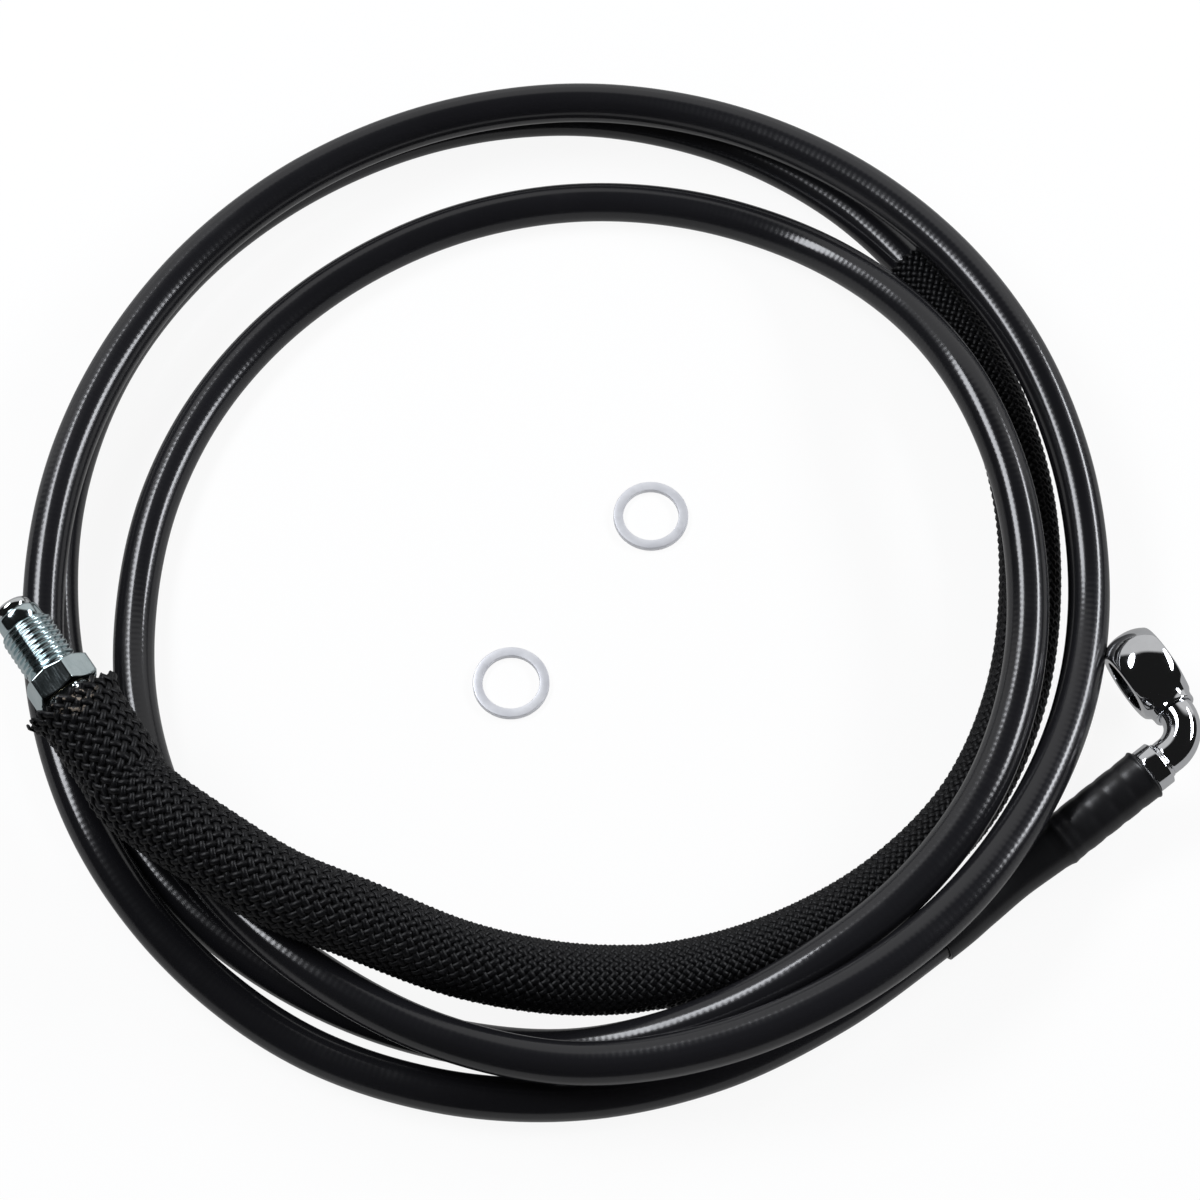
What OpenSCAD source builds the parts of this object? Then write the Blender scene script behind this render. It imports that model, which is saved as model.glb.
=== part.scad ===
/* [Hose] */
// Outer diameter of the hose cover
hose_od = 7.5; // [6.2:0.1:7.6]
// Wall of the extruded cover
cover_wall = 0.65; // [0.5:0.05:0.9]
// Wall of the steel braid
braid_wall = 0.5; // [0.35:0.05:0.6]
// Wall of the inner liner
liner_wall = 0.45; // [0.3:0.05:0.6]

/* [Sleeve and shrink tube] */
// Length of the braided sleeve
sleeve_len = 300; // [200:10:360]
// Outer diameter of the sleeve where it lies close
sleeve_od = 11.4; // [10:0.1:11.6]
// Outer diameter of the sleeve at its open mouth
mouth_od = 15.2; // [12:0.1:18]
// Length of sleeve over which the mouth opens out
mouth_run = 115; // [80:5:150]
// Thickness of the sleeve
sleeve_wall = 1.2; // [0.8:0.1:1.3]
// Wall of the heat shrink tube
shrink_wall = 0.6; // [0.4:0.1:0.8]
// How far the shrink tube runs back over the hose, from the end of the ferrule
shrink_over = 28; // [15:1:32]

/* [Banjo fitting] */
// Bore of the eye
eye_bore = 10.2; // [8:0.1:12.3]
// Wall of the eye at its fullest
eye_wall = 3.1; // [2.5:0.1:4]
// Width of the eye along its bore
eye_w = 9.1; // [7.5:0.1:11]
// How far the eye's outside falls away from its middle to its faces
eye_crown = 1.4; // [0.8:0.1:2]
// Diameter of the bent neck
neck_d = 6.5; // [5:0.1:7.8]
// Radius of the neck's bend
neck_bend = 6; // [5.5:0.5:9]
// Angle that the neck turns through
neck_angle = 85; // [60:1:90]
// Straight neck between ferrule and bend
neck_run = 1.5; // [1:0.5:5]
// Length of the collar between the bend and the eye
collar_len = 1.2; // [0.8:0.1:3]

/* [Crimp ferrules] */
// Length of the ferrule's plain nose in front of the shrink tube
nose_len = 3.7; // [2.5:0.1:5]
// Diameter of the plain nose
nose_d = 8.4; // [7.2:0.1:9]
// Length of the crimped barrel at the banjo
barrel_len = 20; // [16:0.5:20.5]
// Length of the crimped barrel at the nut
end_barrel_len = 13; // [10:0.5:16]
// Wall of the crimped barrel
barrel_wall = 0.95; // [0.8:0.05:1.2]
// Grooves pressed into a barrel
crimps = 4; // [2:1:5]
// Depth of a pressed groove
crimp_depth = 0.25; // [0.1:0.05:0.4]

/* [Tube nut] */
// Thread diameter of the nut
thread_d = 9.52; // [8:0.01:11.5]
// Length of the thread
thread_len = 9.5; // [7:0.5:13]
// Hexagon across its flats
hex_af = 11.1; // [10:0.1:13.4]
// Length of the hexagon
hex_len = 4.9; // [4:0.1:6]
// Length of the plain pilot ahead of the thread
pilot_len = 2.9; // [2:0.1:4]
// Diameter of the end pipe
pipe_d = 4.76; // [3.9:0.01:5.75]
// Bore of the end pipe
pipe_bore = 3; // [2:0.1:3.2]
// Length of the domed flare
flare_len = 2.1; // [1.5:0.1:3]

/* [Washers] */
// Outer diameter of a crush washer
washer_od = 14; // [12:0.5:17]
// Hole of a crush washer
washer_bore = 10.4; // [8.5:0.1:11]
// Thickness of a crush washer
washer_t = 1; // [0.8:0.1:1.5]

/* [Hidden] */

$fn = 64;
layer_gap = 0.05;   // between the layers of the hose and on a hose tail
turn_gap = 0.06;    // round the end pipe in the nut that spins on it
end_gap = 0.1;      // at each face of the nut, and behind the ferrule's nose
loop_gap = 0.5;     // between loops that lie on each other
slip_gap = 0.25;    // inside the sleeve and the shrink tube
mouth_gap = 0.4;    // between the sleeve's mouth and the back of the nut
braze_gap = 0.03;   // round the neck in its socket
hose_sides = 8;
core_sides = 6;
shrink_sides = 12;
sub_steps = 2;      // rings made from one station to the next

// Where the fittings' middle lies from the coil's middle
middle = [4.4, -12.5];

// Layers of the hose, as radii to a polygon's corners
hose_r = hose_od / 2;
cover_in = hose_r - cover_wall;
braid_r = cover_in * cos(180 / hose_sides) - layer_gap;
braid_in = braid_r - braid_wall;
liner_r = braid_in - layer_gap;
liner_in = liner_r - liner_wall;
tail_r = liner_in * cos(180 / core_sides) - layer_gap;
tail_bore = tail_r - 0.45;

// The hose is flattened a little where it lies, and its loops stack a diameter apart
flat = hose_od / 10;
lie = hose_r - flat;
stack = hose_od + loop_gap;

// Banjo end: face of the ferrule, heading and rise of the hose, roll of the eye about it
banjo_at = [103, -34.5, 11.8];
banjo_heading = 36;
banjo_rise = 12;
banjo_roll = -10;
// Nut end: back of the hexagon, its heading and rise
nut_at = [-87.7, -27.4, 24.6];
nut_heading = 125.7;
nut_rise = 9;
// Distances behind each end at which the hose still runs straight
tail_run = nose_len + 0.3;
banjo_runs = [tail_run, tail_run + barrel_len / 2, tail_run + barrel_len];
nut_collar = 2.2;
nut_butt = nut_collar + 0.3;
nut_runs = [nut_butt + end_barrel_len + 7, nut_butt + end_barrel_len,
            nut_butt + end_barrel_len / 2, nut_butt];
// Route of the hose, clockwise from the banjo end: angle, radius and level in hose diameters
lead_in = [[-35, 93.2, 0.26], [-40, 91.4, 0.21], [-46, 90.2, 0.2]];
loops = [
    [-60, 89.5, 0], [-90, 93, 0], [-120, 96, 0], [-150, 97, 0.78],
    [-180, 96.5, 1.04], [-210, 98.5, 1.08], [-240, 102, 1.08], [-270, 104, 1.08],
    [-300, 100, 1.45], [-330, 95.5, 1.5], [-360, 92.5, 1], [-390, 90.5, 1.5],
    [-420, 90.5, 1.85], [-450, 89.5, 1.15], [-480, 86, 1.15], [-510, 83.5, 0.55],
    [-540, 81, 0], [-570, 81.5, 0], [-600, 83.5, 0], [-630, 86.5, 0],
    [-660, 87.5, 0.2], [-690, 82, 1.65], [-720, 80.5, 1.7], [-750, 82, 1.65],
    [-780, 83, 1.4], [-810, 84.5, 0], [-840, 87, 0], [-870, 91, 0],
    [-900, 95.5, 0], [-930, 101.5, 0], [-960, 105.5, 0], [-990, 106.5, 0],
    [-1020, 99, 0.3], [-1050, 89, 0.33], [-1080, 82.5, 0.33], [-1110, 80, 0.33],
    [-1140, 75.5, 0.33], [-1170, 73.4, 0.6], [-1200, 76, 1.95], [-1218, 82.2, 2.24]];

function heading(h, rise) = [cos(h) * cos(rise), sin(h) * cos(rise), sin(rise)];
banjo_dir = heading(banjo_heading, banjo_rise);
nut_dir = heading(nut_heading, nut_rise);

// A point of the coil from its angle, radius and level
function station(s) = [s[1] * cos(s[0]), s[1] * sin(s[0]), lie + s[2] * stack];
// Smooth curve through four values, from the second to the third
function curve(a, b, c, d, t) =
    0.5 * (2 * b + (c - a) * t + (2 * a - 5 * b + 4 * c - d) * t * t
           + (3 * b - a - 3 * c + d) * t * t * t);
function between(k, t) =
    let (last = len(loops) - 1,
         a = loops[max(k - 1, 0)],
         b = loops[k],
         c = loops[min(k + 1, last)],
         d = loops[min(k + 2, last)])
    [b[0] + (c[0] - b[0]) * t,
     curve(a[1], b[1], c[1], d[1], t), 
     max(0, curve(a[2], b[2], c[2], d[2], t))];
function coil(steps) =
    [for (k = [0 : len(loops) - 2]) for (j = [0 : steps - 1]) station(between(k, j / steps)),
     station(loops[len(loops) - 1])];
function route(steps) =
    [for (d = banjo_runs) banjo_at - banjo_dir * d,
     for (s = lead_in) station(s),
     each coil(steps),
     for (d = nut_runs) nut_at - nut_dir * d];

line = route(sub_steps);
last = len(line) - 1;
cover_first = len(banjo_runs) - 1;
cover_last = last - len(nut_runs) + 2;

function run(points, k) = k == 0 ? 0 : run(points, k - 1) + norm(points[k] - points[k - 1]);
// Length of route left ahead of each of the points
function left(k) = k >= last ? 0 : norm(line[k + 1] - line[k]) + left(k + 1);

// Least gap between any two loops, on points four to a station
fine = route(4);
apart = ceil(60 / norm(fine[30] - fine[29]));
least = min([for (i = [0 : len(fine) - 1 - apart]) for (j = [i + apart : len(fine) - 1])
    norm(fine[i] - fine[j])]) - hose_od;
echo(str("hose length ", round(run(line, last)), " mm, least gap between its loops ",
    round(least * 100) / 100, " mm"));

// A tube with a ring of corners at each point: outer and inner radii are listed ring by ring
module swept(points, outer, inner, sides, floor_z = -1000) {
    n = len(points);
    function unit(v) = v / norm(v);
    function way(k) = unit(
        (k == 0 ? [0, 0, 0] : unit(points[k] - points[k - 1]))
        + (k == n - 1 ? [0, 0, 0] : unit(points[k + 1] - points[k])));
    function corner(k, r, i) =
        let (side = unit(cross([0, 0, 1], way(k))),
             up = cross(way(k), side),
             turn = 360 * (i + 0.5) / sides - 90,
             p = points[k] + r * (side * cos(turn) + up * sin(turn)))
        [p[0], p[1], max(p[2], floor_z)];
    corners = [for (r = [outer, inner]) for (k = [0 : n - 1]) for (i = [0 : sides - 1])
        corner(k, r[k], i)];
    function at(wall, k, i) = (wall * n + k) * sides + i % sides;
    skin = [for (k = [0 : n - 2]) for (i = [0 : sides - 1])
        each [[at(0, k, i), at(0, k + 1, i), at(0, k + 1, i + 1)],
              [at(0, k, i), at(0, k + 1, i + 1), at(0, k, i + 1)],
              [at(1, k, i), at(1, k + 1, i + 1), at(1, k + 1, i)],
              [at(1, k, i), at(1, k, i + 1), at(1, k + 1, i + 1)]]];
    ends = [for (i = [0 : sides - 1])
        each [[at(0, 0, i), at(0, 0, i + 1), at(1, 0, i + 1)],
              [at(0, 0, i), at(1, 0, i + 1), at(1, 0, i)],
              [at(0, n - 1, i), at(1, n - 1, i + 1), at(0, n - 1, i + 1)],
              [at(0, n - 1, i), at(1, n - 1, i), at(1, n - 1, i + 1)]]];
    polyhedron(corners, concat(skin, ends));
}

module pipe_layer(first, final, outer, inner, sides, floor_z = -1000) {
    points = [for (k = [first : final]) line[k]];
    swept(points, [for (p = points) outer], [for (p = points) inner], sides, floor_z);
}

// Black cover, from one ferrule's barrel to the other's
module vinyl_cover() {
    color("#1b1b1d") pipe_layer(cover_first, cover_last, hose_r, cover_in, hose_sides, 0);
}
module steel_braid() {
    color("#8d9095") pipe_layer(0, last, braid_r, braid_in, core_sides);
}
module ptfe_liner() {
    color("#e8e6df") pipe_layer(0, last, liner_r, liner_in, core_sides);
}

// Sleeve: close on the hose, opening out towards its mouth against the nut
function sleeve_r(ahead) =
    (sleeve_od + (mouth_od - sleeve_od) * pow(max(0, 1 - ahead / mouth_run), 0.6)) / 2;
module braided_sleeve() {
    rings = [for (k = [0 : last]) if (left(k) < sleeve_len) k];
    first = rings[0];
    missing = (sleeve_len - left(first)) / norm(line[first] - line[first - 1]);
    start = line[first] + (line[first - 1] - line[first]) * missing;
    mouth = line[last] + nut_dir * (nut_butt - mouth_gap);
    points = concat([start], [for (k = rings) line[k]], [mouth]);
    aheads = concat([sleeve_len], [for (k = rings) left(k)], [0]);
    outer = [for (a = aheads) sleeve_r(a)];
    color("#4c4d50")
        swept(points, outer, [for (r = outer) r - sleeve_wall], hose_sides, 0);
}

// Shrink tube: fat over the ferrule, then close on the hose behind it
module shrink_tube() {
    fat = (barrel_r + slip_gap / 2) / cos(180 / shrink_sides) + shrink_wall;
    thin = (hose_r + slip_gap / 2) / cos(180 / shrink_sides) + shrink_wall;
    from = banjo_at - banjo_dir * (nose_len + end_gap);
    heel = banjo_at - banjo_dir * (tail_run + barrel_len);
    behind = [for (k = [cover_first + 1 : last]) line[k]];
    // Points of the hose behind the ferrule, up to the tube's own end
    kept = [for (k = [0 : len(behind) - 1])
        if (run(concat([heel], behind), k + 1) < shrink_over) behind[k]];
    tip = kept[len(kept) - 1];
    next = behind[len(kept)];
    rest = shrink_over - run(concat([heel], kept), len(kept));
    end = tip + (next - tip) * (rest / norm(next - tip));
    points = concat([from, from - banjo_dir * 1.2, from - banjo_dir * (barrel_len / 2),
                     heel - banjo_dir * 0.2, heel - banjo_dir * 1.8],
                    kept, [end]);
    outer = concat([fat - 0.3, fat, fat, fat, thin], [for (p = kept) thin], [thin]);
    color("#161617")
        swept(points, outer, [for (r = outer) r - shrink_wall], shrink_sides, 0);
}

// A crimped barrel round the braid, +X forwards: its nose has a rounded rim and a small lip,
// and the shoulder behind the nose starts under the barrel's own radius
barrel_r = braid_r + layer_gap + barrel_wall;
module crimped_barrel(front_r, front_len, rim, hole_r, length) {
    pitch = length / (crimps + 1);
    inside_r = braid_r + layer_gap;
    rotate([0, 90, 0])
        rotate_extrude()
            difference() {
                polygon([[hole_r, 0], [front_r - rim, 0], [front_r - rim, -rim * 0.4],
                         [front_r - rim * 0.3, -rim * 0.6], [front_r, -rim * 1.1],
                         [front_r, -front_len], [barrel_r - 0.5, -front_len],
                         [barrel_r, -front_len - 1.2],
                         [barrel_r, -front_len - length], [inside_r, -front_len - length],
                         [inside_r, -front_len - 0.2], [hole_r, -front_len - 0.2]]);
                for (i = [1 : crimps])
                    translate([barrel_r + 1.6 - crimp_depth, -front_len - pitch * (i + 0.1)])
                        circle(1.6, $fn = 32);
            }
}

module at_banjo() {
    translate(banjo_at) rotate([banjo_roll, -banjo_rise, banjo_heading]) children();
}
module at_nut() {
    translate(nut_at) rotate([0, -nut_rise, nut_heading]) children();
}

nose_rim = 0.8;
module crimp_ferrule() {
    color("#9b9ca0") at_banjo()
        crimped_barrel(nose_d / 2, nose_len, nose_rim, neck_d / 2 - 0.4 + braze_gap,
                       barrel_len);
}

// Eye: crowned outside, faces with a broken edge, collar that the neck is brazed into
eye_r = eye_bore / 2 + eye_wall;
eye_reach = eye_r + collar_len;   // from the bend's end to the eye's middle
socket_at = eye_r - 1.7;
passage_r = 1.1;
module eye_ring() {
    edge = 0.35;
    half = eye_w / 2;
    outer = [for (i = [-6 : 6])
        [eye_r - eye_crown * pow(abs(i / 6), 2.2), (half - edge) * sin(15 * i)]];
    rotate([0, 90, 0])
        rotate_extrude($fn = 96)
            polygon(concat(
                [[eye_bore / 2, -half + edge], [eye_bore / 2 + edge, -half],
                 [eye_r - eye_crown - edge, -half]],
                outer,
                [[eye_r - eye_crown - edge, half], [eye_bore / 2 + edge, half],
                 [eye_bore / 2, half - edge]]));
}
// From the banjo's frame to the neck's end, with +Y on along it
module at_bend_end() {
    translate([neck_run + neck_bend * sin(neck_angle), neck_bend * (1 - cos(neck_angle)), 0])
        rotate([0, 0, neck_angle - 90])
            children();
}
module banjo_eye() {
    collar_r = neck_d / 2 + 0.75;
    color("#a9abb0") at_banjo() at_bend_end()
        translate([0, eye_reach, 0])
            difference() {
                union() {
                    eye_ring();
                    // Collar, flaring on to the eye and with a rounded rim
                    rotate([90, 0, 0])
                        rotate_extrude()
                            polygon([[0, eye_r - 1.6], [collar_r + 0.9, eye_r - 1.6],
                                     [collar_r + 0.35, eye_r - 0.4], [collar_r, eye_r + 0.2],
                                     [collar_r, eye_reach - 0.6],
                                     [collar_r - 0.3, eye_reach - 0.3], [0, eye_reach - 0.3]]);
                }
                rotate([0, 90, 0]) cylinder(h = eye_w + 2, d = eye_bore, center = true);
                rotate([90, 0, 0]) translate([0, 0, socket_at])
                    cylinder(h = collar_len + 3, r = neck_d / 2 + braze_gap);
                rotate([90, 0, 0]) cylinder(h = eye_r, r = passage_r);
            }
}

// Neck: hose tail, shoulder in the ferrule's nose, bend, and a spigot in the eye's socket
module neck_sweep(radius) {
    translate([neck_run, neck_bend, 0]) rotate([0, 0, -90])
        rotate_extrude(angle = neck_angle) translate([neck_bend, 0]) circle(r = radius);
}
module banjo_neck() {
    step = 0.05;
    overlap = 0.3;
    spigot = eye_reach - socket_at - braze_gap;
    color("#a4a6ab") at_banjo()
        difference() {
            union() {
                rotate([0, 90, 0]) cylinder(h = neck_run, d = neck_d);
                neck_sweep(neck_d / 2);
                at_bend_end() translate([0, -overlap, 0]) rotate([-90, 0, 0])
                    cylinder(h = spigot + overlap, r = neck_d / 2 - step);
                rotate([0, -90, 0]) cylinder(h = nose_len, r = neck_d / 2 - 0.4);
                translate([-nose_len, 0, 0]) rotate([0, -90, 0]) hose_tail(barrel_len);
            }
            translate([-nose_len - barrel_len, 0, 0]) rotate([0, 90, 0])
                cylinder(h = nose_len + barrel_len + neck_run, r = tail_bore);
            neck_sweep(tail_bore);
            at_bend_end() translate([0, -overlap, 0]) rotate([-90, 0, 0])
                cylinder(h = spigot + overlap + 1, r = tail_bore - step);
        }
}

// Barbed tail that the liner is squeezed on to, towards +Z
module hose_tail(length) {
    barbs = 5;
    pitch = (length - 3) / barbs;
    rotate_extrude()
        polygon(concat([[0, 0], [tail_r - 0.15, 0]],
            [for (i = [0 : barbs - 1]) each [[tail_r - 0.15, 0.5 + pitch * i],
                                             [tail_r, 0.8 + pitch * i],
                                             [tail_r - 0.15, 0.3 + pitch * (i + 1)]]],
            [[0, 0.3 + pitch * barbs]]));
}

// Lengths along the nut end, forwards from the back of the hexagon
nut_len = hex_len + thread_len + pilot_len;
nut_bore_r = pipe_d / 2 + turn_gap;
module end_ferrule() {
    color("#b98f45") at_nut() translate([-end_gap - 1, 0, 0])
        crimped_barrel(barrel_r - 0.3, nut_collar - 1 - end_gap, 0.3, pipe_d / 2 + braze_gap,
                       end_barrel_len);
}

// End pipe: hose tail, shoulder behind the nut, pipe through it, domed flare at the tip
module end_pipe() {
    flare_r = thread_d / 2 - 1.4;
    front = nut_len + end_gap;
    dome = [for (i = [0 : 6])
        [pipe_bore / 2 + 0.3 + (flare_r - pipe_bore / 2 - 0.3) * cos(15 * i),
         front + flare_len * 0.45 + flare_len * 0.55 * sin(15 * i)]];
    color("#8f9297") at_nut() rotate([0, 90, 0])
        difference() {
            union() {
                rotate_extrude()
                    polygon(concat(
                        [[0, -nut_collar], [pipe_d / 2, -nut_collar], [pipe_d / 2, -end_gap - 0.95],
                         [pipe_d / 2 + 1.2, -end_gap - 0.95], [pipe_d / 2 + 1.2, -end_gap],
                         [pipe_d / 2, -end_gap], [pipe_d / 2, front], [flare_r - 0.3, front]],
                        dome,
                        [[0, front + flare_len]]));
                translate([0, 0, -nut_collar]) mirror([0, 0, 1]) hose_tail(end_barrel_len);
            }
            translate([0, 0, -nut_collar - end_barrel_len])
                cylinder(h = nut_collar + end_barrel_len - 1, r = tail_bore);
            translate([0, 0, -1.5]) cylinder(h = nut_len + flare_len + 4, d = pipe_bore);
        }
}

// Nut: chamfered hexagon, relief, thread, pilot, and the seat behind the flare
module tube_nut() {
    hex_r = hex_af / 2 / cos(30);
    hex_turn = 13;
    pilot_r = thread_d / 2 - 0.76;
    root_r = thread_d / 2 - 0.6;
    color("#85888d") at_nut() rotate([0, 90, 0])
        difference() {
            union() {
                intersection() {
                    rotate([0, 0, hex_turn]) cylinder(h = hex_len, r = hex_r, $fn = 6);
                    rotate_extrude()
                        polygon([[0, 0], [hex_af / 2 - 0.3, 0], [hex_r, 0.75],
                                 [hex_r, hex_len - 0.6], [hex_af / 2 - 0.1, hex_len],
                                 [0, hex_len]]);
                }
                translate([0, 0, hex_len - 0.1]) cylinder(h = 0.9, r = root_r);
                translate([0, 0, hex_len + 0.7]) cylinder(h = thread_len - 0.7, d = thread_d);
                translate([0, 0, hex_len + thread_len - 0.01])
                    rotate_extrude()
                        polygon([[0, 0], [pilot_r, 0], [pilot_r, pilot_len - 0.4],
                                 [pilot_r - 0.4, pilot_len + 0.01], [0, pilot_len + 0.01]]);
            }
            translate([0, 0, -1]) cylinder(h = nut_len + 2, r = nut_bore_r);
        }
}

module crush_washer() {
    edge = 0.12;
    rotate_extrude($fn = 96)
        polygon([[washer_bore / 2, edge], [washer_bore / 2 + edge, 0],
                 [washer_od / 2 - edge, 0], [washer_od / 2, edge],
                 [washer_od / 2, washer_t - edge], [washer_od / 2 - edge, washer_t],
                 [washer_bore / 2 + edge, washer_t], [washer_bore / 2, washer_t - edge]]);
}
module crush_washer_1() {
    color("#c9cacd") translate([13.5, 19.1, 0]) crush_washer();
}
module crush_washer_2() {
    color("#c9cacd") translate([-12.2, -14.9, 0]) crush_washer();
}

module placed() {
    translate([-middle[0], -middle[1], 0]) children();
}

placed() vinyl_cover();
placed() steel_braid();
placed() ptfe_liner();
placed() braided_sleeve();
placed() shrink_tube();
placed() banjo_eye();
placed() banjo_neck();
placed() crimp_ferrule();
placed() end_ferrule();
placed() end_pipe();
placed() tube_nut();
placed() crush_washer_1();
placed() crush_washer_2();
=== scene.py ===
import math

import bmesh
import bpy
import numpy as np
from mathutils import Matrix, Vector


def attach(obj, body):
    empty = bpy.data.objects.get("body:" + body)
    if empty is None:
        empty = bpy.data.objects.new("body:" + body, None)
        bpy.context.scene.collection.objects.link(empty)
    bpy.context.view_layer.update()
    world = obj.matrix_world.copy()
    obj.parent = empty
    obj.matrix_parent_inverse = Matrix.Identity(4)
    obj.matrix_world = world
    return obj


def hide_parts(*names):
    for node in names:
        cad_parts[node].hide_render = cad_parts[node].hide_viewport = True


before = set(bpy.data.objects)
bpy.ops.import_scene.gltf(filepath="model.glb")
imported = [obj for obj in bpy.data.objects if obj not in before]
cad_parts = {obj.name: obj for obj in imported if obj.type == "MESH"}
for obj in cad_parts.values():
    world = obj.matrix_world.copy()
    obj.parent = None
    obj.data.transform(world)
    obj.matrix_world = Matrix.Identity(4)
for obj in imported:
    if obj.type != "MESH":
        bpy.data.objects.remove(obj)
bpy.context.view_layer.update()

# ----------------------------------------
# Camera, floor and light
# A white table top in a dark studio, with one pale wall beyond the table. Two
# long oval soft boxes run beside the coil: one high at its left, one lower at its right.
# ----------------------------------------
scene = bpy.context.scene
scene.view_settings.view_transform = "Standard"


def in_scene(name, data):
    """A new object in the scene, from its mesh, lamp or camera."""
    made = bpy.data.objects.new(name, data)
    scene.collection.objects.link(made)
    return made


VIEW_TARGET = Vector((-0.0004, 0.0145, 0.0))
VIEW_HEIGHT = math.radians(65)
VIEW_DISTANCE = 0.543
VIEW_LENS = 88.2
camera_data = bpy.data.cameras.new("camera")
camera_data.sensor_width = 36
camera_data.lens = VIEW_LENS
camera_data.clip_start = 0.01
camera = in_scene("camera", camera_data)
view_line = Vector((0, math.cos(VIEW_HEIGHT), -math.sin(VIEW_HEIGHT)))
camera.location = VIEW_TARGET - view_line * VIEW_DISTANCE
camera.rotation_euler = view_line.to_track_quat("-Z", "Y").to_euler()
scene.camera = camera


class Socket:
    """A shader or geometry socket that takes part in Python expressions."""

    tree = None

    def __init__(self, out):
        self.out = out

    @classmethod
    def node(cls, kind, settings=None, inputs=None, output=0):
        """A node of a type, its settings first, then values or links for its sockets."""
        made = cls.tree.nodes.new(kind)
        for name, value in (settings or {}).items():
            setattr(made, name, value)
        for key, value in (inputs or {}).items():
            into = made.inputs[key]
            if isinstance(value, Socket):
                cls.tree.links.new(value.out, into)
            else:
                into.default_value = value
        return cls(made.outputs[output])

    def math(self, operation, other=None, first=False):
        pair = [self] if other is None else ([other, self] if first else [self, other])
        return Socket.node("ShaderNodeMath", {"operation": operation}, dict(enumerate(pair)))

    def __add__(self, other):
        return self.math("ADD", other)

    def __sub__(self, other):
        return self.math("SUBTRACT", other)

    def __rsub__(self, other):
        return self.math("SUBTRACT", other, first=True)

    def __mul__(self, other):
        return self.math("MULTIPLY", other)

    def __truediv__(self, other):
        return self.math("DIVIDE", other)

    def __pow__(self, other):
        return self.math("POWER", other)

    __radd__ = __add__
    __rmul__ = __mul__

    def sin(self):
        return self.math("SINE")

    def cos(self):
        return self.math("COSINE")

    def abs(self):
        return self.math("ABSOLUTE")

    def greater(self, other):
        return self.math("GREATER_THAN", other)

    def smooth(self, low, high):
        """0 below low, 1 above high, smooth between."""
        return Socket.node("ShaderNodeMapRange", {"interpolation_type": "SMOOTHSTEP"},
                           {0: self, 1: low, 2: high, 3: 0.0, 4: 1.0})

    def vector(self, operation, other, output=0):
        return Socket.node("ShaderNodeVectorMath", {"operation": operation},
                           {0: self, 1: other}, output)

    def scaled(self, amount):
        return Socket.node("ShaderNodeVectorMath", {"operation": "SCALE"},
                           {0: self, "Scale": amount})

    def parts(self):
        split = Socket.tree.nodes.new("ShaderNodeSeparateXYZ")
        Socket.tree.links.new(self.out, split.inputs[0])
        return [Socket(out) for out in split.outputs]


def new_material(name):
    """A material with an empty tree: returns it and its output node."""
    material = bpy.data.materials.new(name)
    material.use_nodes = True
    Socket.tree = material.node_tree
    Socket.tree.nodes.clear()
    return material, Socket.tree.nodes.new("ShaderNodeOutputMaterial")


def ray_kinds():
    """Sockets that are 1 for the camera's rays, for glossy rays and for clear rays."""
    return [Socket.node("ShaderNodeLightPath", output=index) for index in (0, 3, 6)]


TABLE_PAPER = (0.9, 0.9, 0.9)
TABLE_LIT = 0.91  # share of its white that needs no lamp
TABLE_DIMMED = 0.62  # how much darker it is in bright metal


def table_finish():
    """Takes shadows, is bright to the camera and clear rays, and less so to glossy ones."""
    material, output = new_material("table_top")
    camera_ray, glossy_ray, clear_ray = ray_kinds()
    seen = camera_ray.math("MAXIMUM", glossy_ray).math("MAXIMUM", clear_ray) * TABLE_LIT
    matt = Socket.node("ShaderNodeBsdfDiffuse", {}, {"Color": (*TABLE_PAPER, 1)})
    glow = Socket.node("ShaderNodeEmission", {},
                       {"Color": (1, 1, 1, 1), "Strength": 1 - glossy_ray * TABLE_DIMMED})
    both = Socket.node("ShaderNodeMixShader", {}, {0: seen, 1: matt, 2: glow})
    Socket.tree.links.new(both.out, output.inputs["Surface"])
    return material


def mesh_object(name, points, faces, material, smooth=True):
    mesh = bpy.data.meshes.new(name)
    mesh.from_pydata([tuple(p) for p in points], [], [tuple(f) for f in faces])
    mesh.materials.append(material)
    if smooth:
        mesh.polygons.foreach_set("use_smooth", np.ones(len(mesh.polygons), dtype=bool))
    mesh.update()
    return in_scene(name, mesh)


FLOOR_HALF = 3.0
FLOOR_Z = -0.0001
floor = mesh_object(
    "floor",
    [(-FLOOR_HALF, -FLOOR_HALF, FLOOR_Z), (FLOOR_HALF, -FLOOR_HALF, FLOOR_Z),
     (FLOOR_HALF, FLOOR_HALF, FLOOR_Z), (-FLOOR_HALF, FLOOR_HALF, FLOOR_Z)],
    [(0, 1, 2, 3)], table_finish(), smooth=False)

ROOM_DARK = 0.012
ROOM_PALE = 0.62  # the wall beyond the table, in bright metal
ROOM_FILL = 0.27  # what the room gives to matt surfaces
WALL_FROM, WALL_FULL = 0.46, 0.6  # its soft edge, 1 being straight beyond

world = bpy.data.worlds.new("room")
scene.world = world
world.use_nodes = True
Socket.tree = world.node_tree
Socket.tree.nodes.clear()
camera_ray, glossy_ray, clear_ray = ray_kinds()
beyond = Socket.node("ShaderNodeTexCoord", output=0).parts()[1]
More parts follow.
